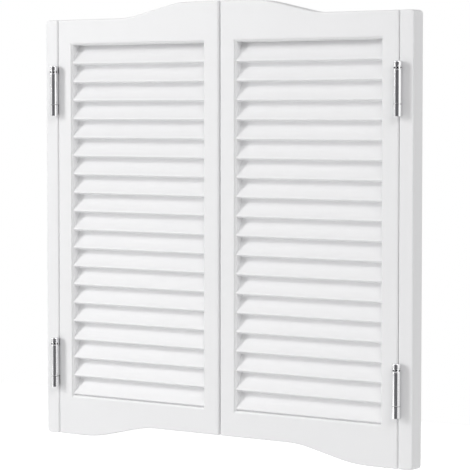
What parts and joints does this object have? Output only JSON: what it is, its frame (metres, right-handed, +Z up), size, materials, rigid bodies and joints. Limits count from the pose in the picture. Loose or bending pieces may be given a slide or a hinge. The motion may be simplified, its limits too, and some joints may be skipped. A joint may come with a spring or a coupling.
{
  "type": "pair of cafe swinging doors",
  "caption": "Louvred cafe doors with curved top and bottom edges, hung between two jamb strips on double-action spring hinges.",
  "frame": {"origin": "middle of the doorway, at mid thickness of the doors and at the level of the strips' lower ends", "axes": "+X to the right along the closed doors, seen from the front; +Y to the back; +Z up"},
  "size_m": [0.914, 0.0724, 0.914],
  "materials": {
    "white_paint": "white satin paint on wood",
    "bare_wood": "bare hardwood",
    "chrome": "polished chrome plating",
    "spring_steel": "oiled spring steel",
    "zinc_screw": "zinc-plated steel"
  },
  "bodies": {
    "jamb_strips": {"left_strip": "white_paint", "left_strip_screws": "zinc_screw", "left_lower_strip_flange": "chrome", "left_lower_strip_pin": "chrome", "left_upper_strip_flange": "chrome", "left_upper_strip_pin": "chrome", "right_strip": "white_paint", "right_strip_screws": "zinc_screw", "right_lower_strip_flange": "chrome", "right_lower_strip_pin": "chrome", "right_upper_strip_flange": "chrome", "right_upper_strip_pin": "chrome"},
    "left_link": {"left_lower_link": "chrome", "left_lower_collars": "chrome", "left_lower_springs": "spring_steel", "left_upper_link": "chrome", "left_upper_collars": "chrome", "left_upper_springs": "spring_steel"},
    "left_leaf": {"left_hinge_stile": "white_paint", "left_meeting_stile": "white_paint", "left_top_rail": "white_paint", "left_bottom_rail": "white_paint", "left_louvre_slats": "white_paint", "left_dowels": "bare_wood", "left_door_screws": "zinc_screw", "left_lower_door_flange": "chrome", "left_lower_door_pin": "chrome", "left_upper_door_flange": "chrome", "left_upper_door_pin": "chrome"},
    "right_link": {"right_lower_link": "chrome", "right_lower_collars": "chrome", "right_lower_springs": "spring_steel", "right_upper_link": "chrome", "right_upper_collars": "chrome", "right_upper_springs": "spring_steel"},
    "right_leaf": {"right_hinge_stile": "white_paint", "right_meeting_stile": "white_paint", "right_top_rail": "white_paint", "right_bottom_rail": "white_paint", "right_louvre_slats": "white_paint", "right_dowels": "bare_wood", "right_door_screws": "zinc_screw", "right_lower_door_flange": "chrome", "right_lower_door_pin": "chrome", "right_upper_door_flange": "chrome", "right_upper_door_pin": "chrome"}
  },
  "joints": [
    {"name": "left_front_swing", "type": "hinge", "parent": "jamb_strips", "child": "left_link", "pos_m": [-0.4267, -0.0272, 0], "axis": [0, 0, -1], "range_deg": [0, 110], "stiffness_Nm_per_rad": 2, "springref_deg": -20.05},
    {"name": "left_rear_swing", "type": "hinge", "parent": "left_link", "child": "left_leaf", "pos_m": [-0.4267, 0.0272, 0], "axis": [0, 0, 1], "range_deg": [0, 110], "stiffness_Nm_per_rad": 2, "springref_deg": -20.05},
    {"name": "right_rear_swing", "type": "hinge", "parent": "jamb_strips", "child": "right_link", "pos_m": [0.4267, 0.0272, 0], "axis": [0, 0, -1], "range_deg": [0, 110], "stiffness_Nm_per_rad": 2, "springref_deg": -20.05},
    {"name": "right_front_swing", "type": "hinge", "parent": "right_link", "child": "right_leaf", "pos_m": [0.4267, -0.0272, 0], "axis": [0, 0, 1], "range_deg": [0, 110], "stiffness_Nm_per_rad": 2, "springref_deg": -20.05}
  ]
}
